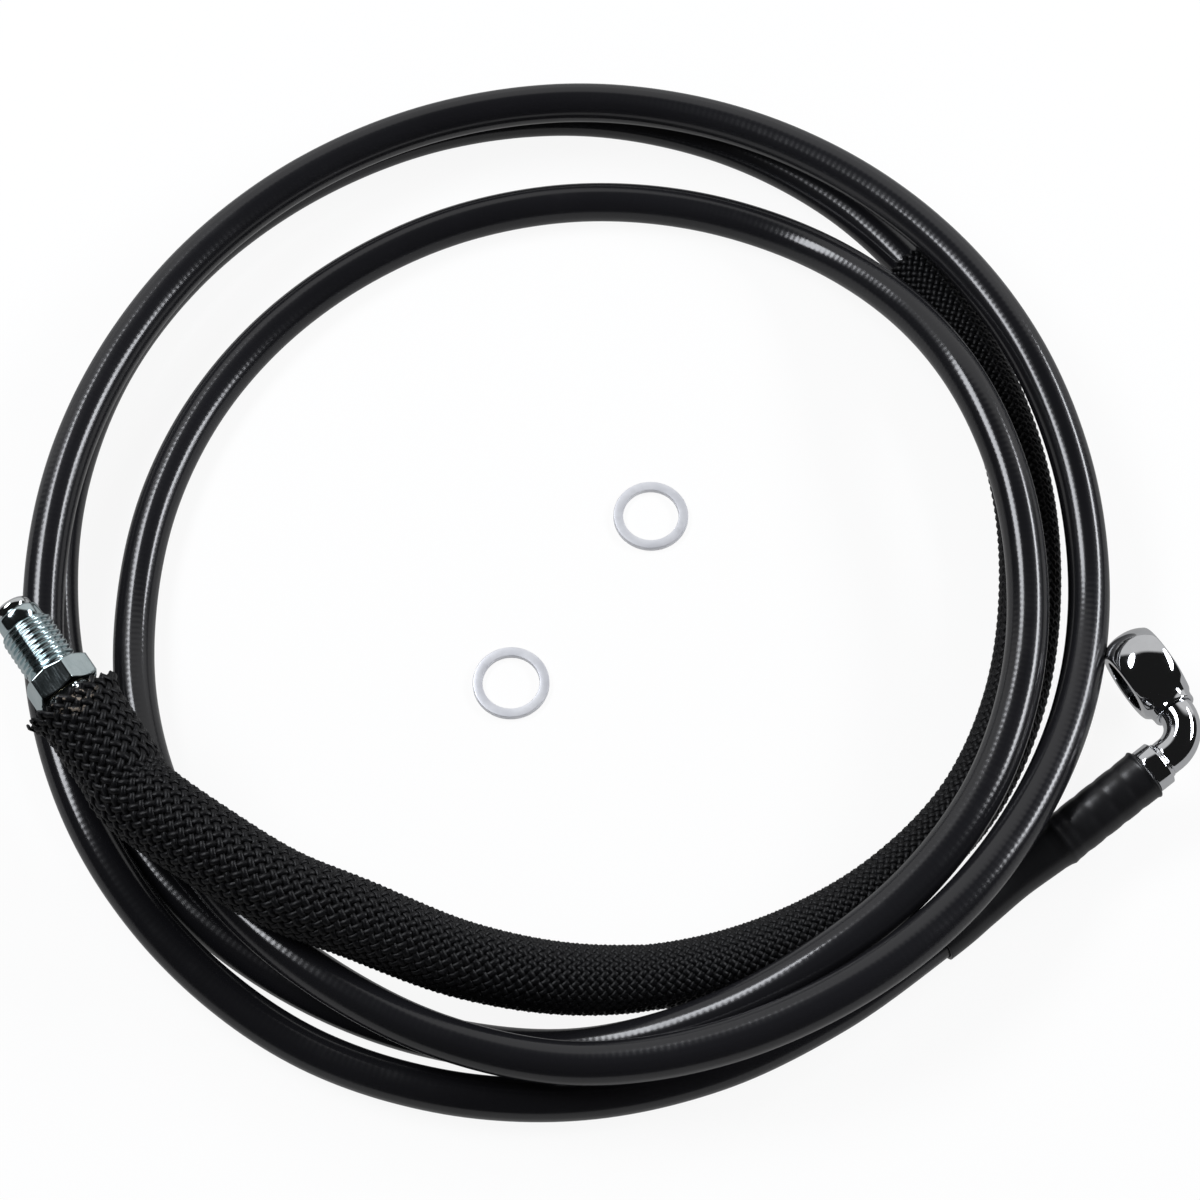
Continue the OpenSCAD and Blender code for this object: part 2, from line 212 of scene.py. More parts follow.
# Glossy rays meet one pale wall beyond the table, and dark on all other sides
room_wall = ROOM_DARK + beyond.smooth(WALL_FROM, WALL_FULL) * ROOM_PALE
room_seen = camera_ray.math("MAXIMUM", clear_ray)
room_strength = room_seen + (1 - room_seen) * (
    glossy_ray * room_wall + (1 - glossy_ray) * ROOM_FILL)
room_light = Socket.node("ShaderNodeBackground", {},
                         {"Color": (1, 1, 1, 1), "Strength": room_strength})
room_output = Socket.tree.nodes.new("ShaderNodeOutputWorld")
Socket.tree.links.new(room_light.out, room_output.inputs["Surface"])


DAYLIGHT = (0.93, 0.95, 1.0)


def soft_box(name, place, length, width, brightness):
    """An oval lamp whose face is so many times as bright as white paper."""
    data = bpy.data.lights.new(name, "AREA")
    data.shape = "ELLIPSE"
    data.size = length
    data.size_y = width
    data.energy = brightness * math.pi * (math.pi / 4 * length * width)
    data.color = DAYLIGHT
    lamp = in_scene(name, data)
    lamp.location = place
    lamp.rotation_euler = (-Vector(place)).to_track_quat("-Z", "Y").to_euler()


BOX_LENGTH = 0.58
soft_box("left_box", (-0.45, 0.2, 0.6), BOX_LENGTH, 0.23, 12.5)
soft_box("right_box", (0.6, 0.2, 0.38), BOX_LENGTH, 0.15, 16.0)

# ----------------------------------------
# Hose cover
# Black vinyl, extruded over a steel braid whose wires show through it as fine
# beads. About 1.93 m of hose lies in three and a half loops, clockwise from the banjo.
# ----------------------------------------
MIDDLE = np.array([0.0044, -0.0125, 0.0])  # fittings' middle from the coil's
HOSE_OD = 0.0075
HOSE_R = HOSE_OD / 2
COVER_IN = 0.0031
LIE = HOSE_R - HOSE_OD / 10  # height of a loop that lies on the table
STACK = HOSE_OD + 0.0005  # one more level of hose on hose
BANJO_AT = np.array([0.103, -0.0345, 0.0118])
BANJO_TURN = (36, 12, -10)  # heading, rise and roll in degrees
BANJO_RUNS = (0.004, 0.014, 0.024)
NUT_AT = np.array([-0.0877, -0.0274, 0.0246])
NUT_TURN = (125.7, 9, 0)
NUT_RUNS = (0.0225, 0.0155, 0.009, 0.0025)
# Angle, radius in metres and level in hose diameters of each station
LEAD_IN = [(-35, 0.0932, 0.26), (-40, 0.0914, 0.21), (-46, 0.0902, 0.2)]
LOOPS = [
    (-60, 0.0895, 0), (-90, 0.093, 0), (-120, 0.096, 0), (-150, 0.097, 0.78),
    (-180, 0.0965, 1.04), (-210, 0.0985, 1.08), (-240, 0.102, 1.08), (-270, 0.104, 1.08),
    (-300, 0.1, 1.45), (-330, 0.0955, 1.5), (-360, 0.0925, 1), (-390, 0.0905, 1.5),
    (-420, 0.0905, 1.85), (-450, 0.0895, 1.15), (-480, 0.086, 1.15), (-510, 0.0835, 0.55),
    (-540, 0.081, 0), (-570, 0.0815, 0), (-600, 0.0835, 0), (-630, 0.0865, 0),
    (-660, 0.0875, 0.2), (-690, 0.082, 1.65), (-720, 0.0805, 1.7), (-750, 0.082, 1.65),
    (-780, 0.083, 1.4), (-810, 0.0845, 0), (-840, 0.087, 0), (-870, 0.091, 0),
    (-900, 0.0955, 0), (-930, 0.1015, 0), (-960, 0.1055, 0), (-990, 0.1065, 0),
    (-1020, 0.099, 0.3), (-1050, 0.089, 0.33), (-1080, 0.0825, 0.33), (-1110, 0.08, 0.33),
    (-1140, 0.0755, 0.33), (-1170, 0.0734, 0.6), (-1200, 0.076, 1.95), (-1218, 0.0822, 2.24)]


def unit(v):
    return v / np.linalg.norm(v, axis=-1, keepdims=True)


def heading(degrees, rise):
    h, t = math.radians(degrees), math.radians(rise)
    return np.array([math.cos(h) * math.cos(t), math.sin(h) * math.cos(t), math.sin(t)])


def station(angle, radius, level):
    a = math.radians(angle)
    return np.array([radius * math.cos(a), radius * math.sin(a), LIE + level * STACK])


def curve(a, b, c, d, t):
    """Smooth curve through four values, from the second to the third."""
    return 0.5 * (2 * b + (c - a) * t + (2 * a - 5 * b + 4 * c - d) * t ** 2
                  + (3 * b - a - 3 * c + d) * t ** 3)


def coil_points(steps):
    rows = np.array(LOOPS, dtype=float)
    padded = np.vstack([rows[:1], rows, rows[-1:]])
    made = []
    for k in range(len(rows) - 1):
        for j in range(steps):
            t = j / steps
            angle = rows[k, 0] + (rows[k + 1, 0] - rows[k, 0]) * t
            radius, level = curve(*padded[k:k + 4, 1:], t)
            made.append(station(angle, radius, max(level, 0)))
    return made + [station(*rows[-1])]


def smooth_line(points, steps):
    """The same line with more points, rounded through each of the given ones."""
    points = np.array(points)
    ends = np.vstack([2 * points[0] - points[1], points, 2 * points[-1] - points[-2]])
    made = [curve(*ends[k:k + 4], j / steps)
            for k in range(len(points) - 1) for j in range(steps)]
    return np.array(made + [points[-1]])


def lengths(points):
    return np.concatenate([[0], np.cumsum(np.linalg.norm(np.diff(points, axis=0), axis=1))])


banjo_dir = heading(*BANJO_TURN[:2])
nut_dir = heading(*NUT_TURN[:2])
hose_line = smooth_line(
    [BANJO_AT - banjo_dir * d for d in BANJO_RUNS] + [station(*s) for s in LEAD_IN]
    + coil_points(2) + [NUT_AT - nut_dir * d for d in NUT_RUNS], 12) - MIDDLE
hose_run = lengths(hose_line)
HOSE_LENGTH = hose_run[-1]


def line_at(distance):
    """Points of the hose's line at the given distances from its banjo end."""
    return np.stack([np.interp(distance, hose_run, hose_line[:, i]) for i in range(3)], axis=1)


def frames(points):
    """Side and upward directions across a line, neither turning about it."""
    way = unit(np.gradient(points, axis=0))
    side = unit(np.cross([0, 0, 1], way))
    return side, np.cross(way, side)


def tube_mesh(name, points, radii, sides, material, inner, floor_z=0.0, wobble=0.0):
    """A tube along points, with its bore, its two end faces and a UV map in metres."""
    side, up = frames(points)
    turn = 2 * np.pi * (np.arange(sides) + 0.5) / sides - np.pi / 2
    around = (side[:, None] * np.cos(turn)[None, :, None]
              + up[:, None] * np.sin(turn)[None, :, None])
    outer = np.broadcast_to(radii, len(points))[:, None] + wobble
    rings = []
    for radius in (outer, np.broadcast_to(inner, len(points))[:, None]):
        ring = points[:, None] + around * np.broadcast_to(radius, around.shape[:2])[..., None]
        ring[..., 2] = np.maximum(ring[..., 2], floor_z)
        rings.append(ring.reshape(-1, 3))
    n, total = len(points), len(points) * sides
    k, i = np.meshgrid(np.arange(n - 1), np.arange(sides), indexing="ij")
    a, b = (k * sides + i).ravel(), (k * sides + (i + 1) % sides).ravel()
    c, d = b + sides, a + sides
    i = np.arange(sides)
    j = (i + 1) % sides
    faces = np.vstack([np.stack([a, b, c, d], axis=1), np.stack([a, d, c, b], axis=1) + total,
                       np.stack([i, i + total, j + total, j], axis=1),
                       np.stack([i, j, j + total, i + total], axis=1) + (n - 1) * sides])
    made = mesh_object(name, np.vstack(rings), faces, material)
    # Along the tube and around it: the last face of a ring ends where the first began
    vertex = faces.ravel()
    spoke = (vertex % sides).astype(float)
    spoke[(np.repeat(spoke[::4], 4) == sides - 1) & (spoke == 0)] = sides
    grid = np.stack([lengths(points)[(vertex % total) // sides],
                     spoke / sides * 2 * np.pi * float(np.mean(outer))], axis=1)
    layer = made.data.uv_layers.new(name="UVMap")
    layer.data.foreach_set("uv", grid.astype(np.float32).ravel())
    return made


def mix(factor, a, b):
    """Colour a where factor is 0 and b where it is 1."""
    a, b = ((*colour, 1) if isinstance(colour, tuple) else colour for colour in (a, b))
    return Socket.node("ShaderNodeMix", {"data_type": "RGBA"}, {0: factor, 6: a, 7: b},
                       output=2)


def finish_material(made, bump, bump_strength, bump_depth, **sockets):
    """Puts one Principled shader on a material: names are its sockets' with _ for space."""
    material, output = made
    normal = Socket.node("ShaderNodeBump", {}, {"Height": bump, "Strength": bump_strength,
                                                "Distance": bump_depth})
    inputs = {name.replace("_", " "): value for name, value in sockets.items()}
    shader = Socket.node("ShaderNodeBsdfPrincipled", {}, {**inputs, "Normal": normal})
    Socket.tree.links.new(shader.out, output.inputs["Surface"])
    return material


def noise(scale, detail=3, roughness=0.5, at=None):
    """Noise on object coordinates, scale in features per metre."""
    if at is None:
        at = Socket.node("ShaderNodeTexCoord", output=3)
    return Socket.node("ShaderNodeTexNoise", {},
                       {"Vector": at, "Scale": scale, "Detail": detail,
                        "Roughness": roughness})


WIRE_CARRIERS = 20


def wire_waves(radius):
    """Turn and lead of the braid's wires, drawn for a radius, and what they weave."""
    along, around, _ = Socket.node("ShaderNodeUVMap", {"uv_map": "UVMap"}).parts()
    turn, lead = around * (WIRE_CARRIERS / radius), along * (WIRE_CARRIERS / radius)
    return turn, lead, ((turn + lead) * 0.5).sin() * ((turn - lead) * 0.5).sin()


def cover_finish():
    made = new_material("black_vinyl")
    beads = wire_waves(HOSE_R)[2]
    patches = noise(9, 3)
    smear = noise(160, 4, 0.6)
    colour = mix(patches.smooth(0.35, 0.7), (0.007, 0.007, 0.0082), (0.0115, 0.0115, 0.0135))
    roughness = 0.15 + patches * 0.08 + smear.smooth(0.5, 0.75) * 0.05
    height = beads * (0.25 + patches * 0.5) + smear * 0.2
    return finish_material(made, height, 0.3, 0.00005, Base_Color=colour,
                           Roughness=roughness, Specular_IOR_Level=0.6)


RING_STEP = 0.0018
RING_SIDES = 32
cover_from, cover_to = BANJO_RUNS[2], HOSE_LENGTH - (NUT_RUNS[1] - NUT_RUNS[3])
cover_line = line_at(np.arange(cover_from, cover_to, RING_STEP))
cover = tube_mesh("cover", cover_line, HOSE_R, RING_SIDES, cover_finish(), inner=COVER_IN)
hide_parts("vinyl_cover")
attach(cover, "hose")

# ----------------------------------------
# Steel braid
# Bright stainless wires, braided tightly on the liner in twenty carriers, to
# take the hose's pressure. The cover hides it from end to end.
# ----------------------------------------
BRAID_R = 0.00275
BRAID_IN = 0.0023
WIRE_PATTERN_R = 0.0028  # that its wires are drawn for
CORE_FLOOR = 0.0001
CORE_STEP = 0.004
CORE_SIDES = 20


def braid_finish():
    made = new_material("braid_wire")
    turn, lead, weave = wire_waves(WIRE_PATTERN_R)
    wires = ((turn + lead * weave.greater(0)) * 3).sin().abs()
    # The wires' colour holds painted shade: darker where the braid's surface is low between the
    # wires, lighter where they rise
    colour = mix(weave.abs(), (0.22, 0.22, 0.24), (0.62, 0.63, 0.66))
    return finish_material(made, weave.abs() + wires * 0.3, 0.8, 0.00015, Base_Color=colour,
                           Metallic=1.0, Roughness=0.34 + wires * 0.1)


core_line = line_at(np.arange(0, HOSE_LENGTH, CORE_STEP))
braid = tube_mesh("wire_braid", core_line, BRAID_R, CORE_SIDES, braid_finish(),
                  inner=BRAID_IN, floor_z=CORE_FLOOR)
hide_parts("steel_braid")
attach(braid, "hose")

# ----------------------------------------
# Liner
# A smooth white fluoropolymer tube that holds the fluid. Both fittings' barbed
# tails are pushed into its ends.
# ----------------------------------------
LINER_R = 0.00225
LINER_IN = 0.0018


def liner_finish():
    made = new_material("liner_resin")
    haze = noise(220, 3)
    colour = mix(haze, (0.78, 0.77, 0.72), (0.88, 0.87, 0.83))
    return finish_material(made, haze, 0.1, 0.00005, Base_Color=colour, Roughness=0.42)


liner = tube_mesh("liner", core_line, LINER_R, CORE_SIDES, liner_finish(),
                  inner=LINER_IN, floor_z=CORE_FLOOR)
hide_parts("ptfe_liner")
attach(liner, "hose")

# ----------------------------------------
# Crimp ferrule
# Mild steel, turned, pressed on to the hose over the neck's tail with four
# grooves, and chromed. Only its plain nose shows ahead of the shrink tube.
# ----------------------------------------
MM = 0.001
NOSE_LEN = 0.0037
NOSE_R = 4.2
NECK_R = 3.25
BARREL_R = 3.81
BARREL_IN = 2.864
BARREL_LEN = 20.0
GROOVES = 4
GROOVE_R = 1.6  # of the press jaws that leave the grooves
GROOVE_BITE = 1.35  # from their middles to the barrel
CORNER = 0.14  # usual ease of a turned corner
NOSE_RIM = 0.8  # width of its rounded front edge
NECK_THIN = 0.4  # the neck's wall is less inside the ferrule
FIT = 0.03  # gap between two fitted pieces


def placing(at, turns):
    """Matrix of an end fitting: +X runs forwards along it from its own face."""
    h, t, r = (math.radians(a) for a in turns)
    return (Matrix.Translation(Vector(at - MIDDLE)) @ Matrix.Rotation(h, 4, "Z")
            @ Matrix.Rotation(-t, 4, "Y") @ Matrix.Rotation(r, 4, "X"))


def ring_mesh(name, centres, across, radii, material, matrix, turns=None, crease=35):
    """A closed skin through rings, in mm, the last ring joined to the first.

    Each ring lies about its centre, from its direction across towards +Z."""
    if turns is None:
        turns = np.linspace(0, 2 * np.pi, 96, endpoint=False)
    count, sides = len(centres), len(turns)
    radii = np.stack([np.broadcast_to(r, sides) for r in radii])
    round_ring = (np.asarray(across)[:, None] * np.cos(turns)[None, :, None]
                  + np.array([0, 0, 1.0]) * np.sin(turns)[None, :, None])
    points = (np.asarray(centres)[:, None] + round_ring * radii[..., None]).reshape(-1, 3)
    k, i = np.meshgrid(np.arange(count), np.arange(sides), indexing="ij")
    k, i = k.ravel(), i.ravel()
    on, beside = (k + 1) % count, (i + 1) % sides
    faces = np.stack([k * sides + i, k * sides + beside, on * sides + beside, on * sides + i],
                     axis=1)
    a, b, c, d = (points[faces[:, n]] for n in range(4))
    inside_out = (np.einsum("ij,ij->", a, np.cross(b, c))
                  + np.einsum("ij,ij->", a, np.cross(c, d))) < 0
    made = mesh_object(name, points * MM, faces[:, ::-1] if inside_out else faces, material)
    made.data.transform(matrix)
    made.data.set_sharp_from_angle(angle=math.radians(crease))
    return made


def eased(corners, eases):
    """The closed outline with each corner rounded off, its ease away from it or less."""
    corners = np.array(corners, dtype=float)
    made = []
    for before, here, after, ease in zip(np.roll(corners, 1, 0), corners,
                                         np.roll(corners, -1, 0),
                                         np.broadcast_to(eases, len(corners))):
        start = here + (before - here) * min(ease / np.linalg.norm(before - here), 0.45)
        end = here + (after - here) * min(ease / np.linalg.norm(after - here), 0.45)
        made += [start * (1 - t) ** 2 + here * 2 * t * (1 - t) + end * t ** 2
                 for t in (0, 0.3, 0.7, 1)]
    return made


def turned(name, outline, material, matrix):
    """A lathe-turned piece from its closed outline of places along +X and radii, in mm."""
    outline = np.array(outline, dtype=float)
    centres = np.stack([outline[:, 0], outline[:, 0] * 0, outline[:, 0] * 0], axis=1)
    across = np.tile([0, 1.0, 0], (len(outline), 1))
    return ring_mesh(name, centres, across, outline[:, 1], material, matrix)


def ferrule_outline(front, front_r, front_len, rim, hole_r, length):
    nose = eased([(front, hole_r), (front, front_r - rim), (front - rim * 0.45, front_r - rim),
                  (front - rim * 1.1, front_r), (front - front_len, front_r),
                  (front - front_len, BARREL_R - 0.5),
                  (front - front_len - 1.2, BARREL_R)], CORNER)
    barrel = []
    for s in np.arange(1.4, length, 0.2):
        off = [s - length / (GROOVES + 1) * (n + 0.1) for n in range(1, GROOVES + 1)]
        reach = [math.sqrt(max(0.0, GROOVE_R ** 2 - d ** 2)) - GROOVE_BITE for d in off]
        barrel.append((front - front_len - s, BARREL_R - sum(max(0.0, r) for r in reach)))
    end = front - front_len - length
    return nose[2:] + barrel + [(end, BARREL_R), (end, BARREL_IN),
                                (front - front_len - 0.2, BARREL_IN),
                                (front - front_len - 0.2, hole_r)]


def chrome_finish(name, tint, smudge=0.05):
    """Bright plating: a mirror with a faint haze, handling marks and tiny pits."""
    made = new_material(name)
    haze = noise(260, 3, 0.6)
    marks = noise(1800, 4, 0.65)
    pits = noise(7000, 2)
    colour = mix(haze.smooth(0.3, 0.75) * 0.5, tint, tuple(c * 0.86 for c in tint))
    roughness = 0.045 + haze.smooth(0.45, 0.75) * smudge + marks.smooth(0.62, 0.8) * 0.05
    return finish_material(made, haze * 0.35 + marks * 0.1 + pits.smooth(0.72, 0.8) * -0.12,
                           0.16, 0.00005, Base_Color=colour, Metallic=1.0,
                           Roughness=roughness)


banjo_place = placing(BANJO_AT, BANJO_TURN)
bright_chrome = chrome_finish("bright_chrome", (0.76, 0.77, 0.79))
ferrule = turned("ferrule", ferrule_outline(
    0, NOSE_R, NOSE_LEN / MM, NOSE_RIM, NECK_R - NECK_THIN + FIT, BARREL_LEN),
    bright_chrome, banjo_place)
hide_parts("crimp_ferrule")
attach(ferrule, "hose")

# ----------------------------------------
# Banjo neck
# Steel tube, bent through 85 degrees and brazed into the eye's collar. Its
# other end is a barbed tail inside the hose, under the pressed barrel.
# ----------------------------------------
NECK_RUN = 1.5
NECK_BEND = 6.0
NECK_ANGLE = math.radians(85)
TAIL_R = 1.52
TAIL_WAIST = TAIL_R - 0.15  # between its barbs
TAIL_BORE = 1.07
BARBS = 5


def tail_outline(length):
    """A barbed hose tail back from its shoulder: distances behind it and radii."""
    pitch = (length - 3) / BARBS
    return [(0.0, TAIL_WAIST)] + [point for n in range(BARBS) for point in (
        (0.5 + pitch * n, TAIL_WAIST), (0.8 + pitch * n, TAIL_R),
        (0.3 + pitch * (n + 1), TAIL_WAIST))]


def neck_at(distance):
    """Centre of the neck's line and its direction across, from the ferrule's face on."""
    turned_by = np.clip((distance - NECK_RUN) / NECK_BEND, 0, NECK_ANGLE)
    centre = np.array([min(distance, NECK_RUN) + NECK_BEND * math.sin(turned_by),
                       NECK_BEND * (1 - math.cos(turned_by)), 0])
    beyond = max(0.0, distance - NECK_RUN - NECK_BEND * NECK_ANGLE)
    centre += beyond * np.array([math.cos(turned_by), math.sin(turned_by), 0])
    return centre, np.array([-math.sin(turned_by), math.cos(turned_by), 0])


BEND_END = NECK_RUN + NECK_BEND * NECK_ANGLE
SPIGOT = 1.1  # how far the tube reaches into the collar
neck_tail = [(-NOSE_LEN / MM - d, r) for d, r in tail_outline(BARREL_LEN)]
neck_outline = neck_tail[::-1] + [(-NOSE_LEN / MM, NECK_R - NECK_THIN),
                                  (-0.25, NECK_R - NECK_THIN), (-0.05, NECK_R - 0.3),
                                  (0.08, NECK_R - 0.1), (0.3, NECK_R)]
neck_outline += [(s, NECK_R) for s in np.linspace(0.6, BEND_END + 0.2, 40)]
neck_outline += [(BEND_END + 0.25, NECK_R - 0.05), (BEND_END + SPIGOT, NECK_R - 0.05),
                 (BEND_END + SPIGOT, TAIL_BORE)]
neck_outline += [(s, TAIL_BORE) for s in np.linspace(BEND_END, NECK_RUN, 24)]
neck_outline += [(neck_tail[-1][0], TAIL_BORE)]
neck_rings = [neck_at(s) for s, _ in neck_outline]
neck = ring_mesh("neck", [c for c, _ in neck_rings], [a for _, a in neck_rings],
                 [r for _, r in neck_outline], bright_chrome, banjo_place)
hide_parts("banjo_neck")
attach(neck, "hose")

# ----------------------------------------
# Banjo eye
# Steel forging, crowned outside and bored for the bolt, with a round collar
# that flows into it and takes the neck. Polished and chromed all over.
# ----------------------------------------
EYE_BORE_R = 5.1
EYE_R = 8.2
EYE_HALF = 4.55
EYE_CROWN = 1.4
EYE_FACE_R = 6.5  # of the rough ring's flat faces
EYE_REACH = 9.4  # from the bend's end to the eye's middle
COLLAR_R = NECK_R + 0.75
COLLAR_FROM = 6.4  # inside the ring
COLLAR_END = EYE_REACH - 0.3
EYE_FILLET = 1.7  # where the collar flows into the ring
SKIN_STEP = 0.17
SKIN_ROUNDS = 14
SKIN_PROBE = 0.002
SKIN_MOVE = 0.12  # the furthest that a point moves in a round


def soft_max(a, b, ease):
    """The larger of two distances, rounded off where they are within ease."""
    near = np.maximum(ease - np.abs(a - b), 0) / ease
    return np.maximum(a, b) + near ** 3 * ease / 6


def eye_skin(p):
    """Signed distance, in mm, to the eye with its bore along X and its collar at -Y."""
    x, y, z = p.T
    round_x, round_y = np.hypot(y, z), np.hypot(x, z)
    crown = EYE_R - EYE_CROWN * np.minimum(np.abs(x) / EYE_HALF, 1.3) ** 2.3
    ring = soft_max(round_x - crown, np.abs(x) - EYE_HALF, 0.5)
    collar = soft_max(round_y - COLLAR_R, -y - COLLAR_END, 0.5)
    collar = soft_max(collar, y + EYE_BORE_R, 0.2)
    body = -soft_max(-ring, -collar, EYE_FILLET)
    body = soft_max(body, EYE_BORE_R - round_x, 0.35)
    socket = np.maximum(round_y - NECK_R - FIT, y + COLLAR_END - SPIGOT)
    return soft_max(body, -socket, 0.15)


eye_place = (banjo_place @ Matrix.Translation(Vector(
    (NECK_RUN + NECK_BEND * math.sin(NECK_ANGLE), NECK_BEND * (1 - math.cos(NECK_ANGLE)), 0)) * MM)
    @ Matrix.Rotation(NECK_ANGLE - math.pi / 2, 4, "Z")
    @ Matrix.Translation(Vector((0, EYE_REACH, 0)) * MM))
to_mm = Matrix.Scale(1 / MM, 4)
eye_ring = turned("eye_ring", [
    (-EYE_HALF, EYE_BORE_R), (-EYE_HALF, EYE_FACE_R), (-3, EYE_R - 0.4), (0, EYE_R),
    (3, EYE_R - 0.4), (EYE_HALF, EYE_FACE_R), (EYE_HALF, EYE_BORE_R)], bright_chrome, to_mm)
eye_collar = turned("eye_collar", [
    (COLLAR_FROM, NECK_R + FIT), (COLLAR_FROM, COLLAR_R + 0.6), (EYE_R, COLLAR_R),
    (COLLAR_END, COLLAR_R), (COLLAR_END, NECK_R + FIT)], bright_chrome,
    to_mm @ Matrix.Rotation(-math.pi / 2, 4, "Z"))
rough_eye = eye_ring.data.copy()
joined = bmesh.new()
joined.from_mesh(eye_ring.data)
joined.from_mesh(eye_collar.data)
joined.to_mesh(rough_eye)
joined.free()
eye = in_scene("eye", rough_eye)
for part in (eye_ring, eye_collar):
    bpy.data.objects.remove(part)
remesh = eye.modifiers.new("even_skin", "REMESH")
remesh.mode = "VOXEL"
remesh.voxel_size = SKIN_STEP
remesh.use_smooth_shade = True
skin = bpy.data.meshes.new_from_object(eye.evaluated_get(bpy.context.evaluated_depsgraph_get()))
eye.modifiers.remove(remesh)
eye.data = skin
eye_points = np.zeros(len(skin.vertices) * 3)
skin.vertices.foreach_get("co", eye_points)
eye_points = eye_points.reshape(-1, 3)
# Each point is moved on to the true skin, which evens out the remeshed steps
for _ in range(SKIN_ROUNDS):
    depth = eye_skin(eye_points)
    slope = np.stack([(eye_skin(eye_points + step) - eye_skin(eye_points - step))
                      / (2 * SKIN_PROBE) for step in np.eye(3) * SKIN_PROBE], axis=1)
    slope /= np.maximum(np.linalg.norm(slope, axis=1, keepdims=True), 0.3)
    eye_points -= slope * np.clip(depth, -SKIN_MOVE, SKIN_MOVE)[:, None]
skin.vertices.foreach_set("co", (eye_points * MM).ravel())
skin.transform(eye_place)
skin.materials.clear()
skin.materials.append(bright_chrome)
skin.update()
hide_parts("banjo_eye")
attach(eye, "hose")

# ----------------------------------------
# Heat shrink tube over the crimp
# Black polyolefin, shrunk over the ferrule and on along the hose. Its front
# edge is rolled, and its waist is sharp where the ferrule ends.
# ----------------------------------------
SHRINK_FROM = NOSE_LEN + 0.0001
HEEL = BANJO_RUNS[2] - SHRINK_FROM
SHRINK_LEN = HEEL + 0.028
FAT_R = 0.00464
THIN_R = 0.0044
SHRINK_WALL = 0.0005
LIP = 0.00022  # height of the rolled edge
DENT = 0.00011  # depth that each pressed groove leaves
RIDGE = 0.00016  # where the ferrule ends
SHRINK_STEP = 0.0004


def shrink_finish():
    made = new_material("shrunk_polyolefin")
    along, around, _ = Socket.node("ShaderNodeUVMap", {"uv_map": "UVMap"}).parts()
    grain = noise(900, 3, 0.6)
    cloud = noise(70, 3)
    rings = (along * 2600).sin() * 0.15 + (along * 5200 + around * 400).sin() * 0.06
    colour = mix(cloud, (0.005, 0.005, 0.0056), (0.0095, 0.0095, 0.0108))
    return finish_material(made, grain * 0.5 + rings + cloud * 0.8, 0.3, 0.00006,
                           Base_Color=colour, Roughness=0.26 + cloud * 0.14,
                           Specular_IOR_Level=0.45)


# Rings are close together at the rolled lip
shrink_s = np.concatenate([np.linspace(0, 0.0022, 14),
                           np.arange(0.0026, SHRINK_LEN, SHRINK_STEP)])
shrink_radius = []
for s in shrink_s:
    radius = FAT_R + (THIN_R - FAT_R) * np.clip((s - HEEL + 0.0004) / 0.0016, 0, 1) ** 0.7
    # Rolled lip, marks of the pressed grooves under it, and the pinch behind the ferrule
    lip = LIP * math.exp(-((s - 0.0005) / 0.00035) ** 2)
    lip -= 0.0005 * max(0.0, 1 - s / 0.00035) ** 2
    dents = sum(DENT * math.exp(-((s - HEEL * (i + 0.1) / (GROOVES + 1)) / 0.0007) ** 2)
                for i in range(1, GROOVES + 1))
    ridge = RIDGE * math.exp(-((s - HEEL + 0.0009) / 0.0004) ** 2)
    tail = SHRINK_WALL / 2 * max(0.0, 1 - (SHRINK_LEN - s) / 0.0004)
    shrink_radius.append(radius + lip - dents + ridge - tail)
shrink_radius = np.array(shrink_radius)
shrink_lead = BANJO_AT - MIDDLE - banjo_dir * SHRINK_FROM
shrink_distance = shrink_s - (BANJO_RUNS[0] - SHRINK_FROM)
shrink_line = np.where((shrink_distance < 0)[:, None],
                       shrink_lead - banjo_dir * shrink_s[:, None],
                       line_at(np.maximum(shrink_distance, 0)))
shrink = tube_mesh("shrink_skin", shrink_line, shrink_radius, 48, shrink_finish(),
                   inner=shrink_radius - SHRINK_WALL)
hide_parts("shrink_tube")
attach(shrink, "hose")

# ----------------------------------------
# End ferrule
# Mild steel, pressed on to the hose over the pipe's tail, and yellow
# passivated. It sits inside the sleeve's mouth, behind the nut.
# ----------------------------------------
PIPE_R = 2.38
NUT_COLLAR = 2.2  # from the nut's seat back to the ferrule
END_GAP = 0.1  # the nut's play at either end
END_BARREL_LEN = 13.0


def yellow_finish():
    made = new_material("yellow_passivate")
    haze = noise(300, 3, 0.6)
    rainbow = noise(90, 3)
    colour = mix(rainbow.smooth(0.3, 0.7), (0.74, 0.6, 0.36), (0.7, 0.66, 0.5))
    return finish_material(made, haze, 0.15, 0.00005, Base_Color=colour, Metallic=1.0,
                           Roughness=0.2 + haze * 0.15)


nut_place = placing(NUT_AT, NUT_TURN)
end_ferrule = turned("pressed_barrel", ferrule_outline(
    -1 - END_GAP, BARREL_R - 0.3, NUT_COLLAR - 1 - END_GAP, 0.3, PIPE_R + FIT,
    END_BARREL_LEN), yellow_finish(), nut_place)
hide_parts("end_ferrule")
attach(end_ferrule, "hose")

# ----------------------------------------
# End pipe
# Plated steel pipe with a barbed tail in the hose, a shoulder that pushes on
# the nut, and a domed flare at its tip that seals in the port.
# ----------------------------------------
PIPE_BORE = 1.5
SHOULDER_R = PIPE_R + 1.2
SHOULDER_LEN = 0.95
HEX_LEN = 4.9
THREAD_LEN = 9.5
PILOT_LEN = 2.9
NUT_LEN = HEX_LEN + THREAD_LEN + PILOT_LEN
FLARE_R = 3.36
FLARE_LEN = 2.1

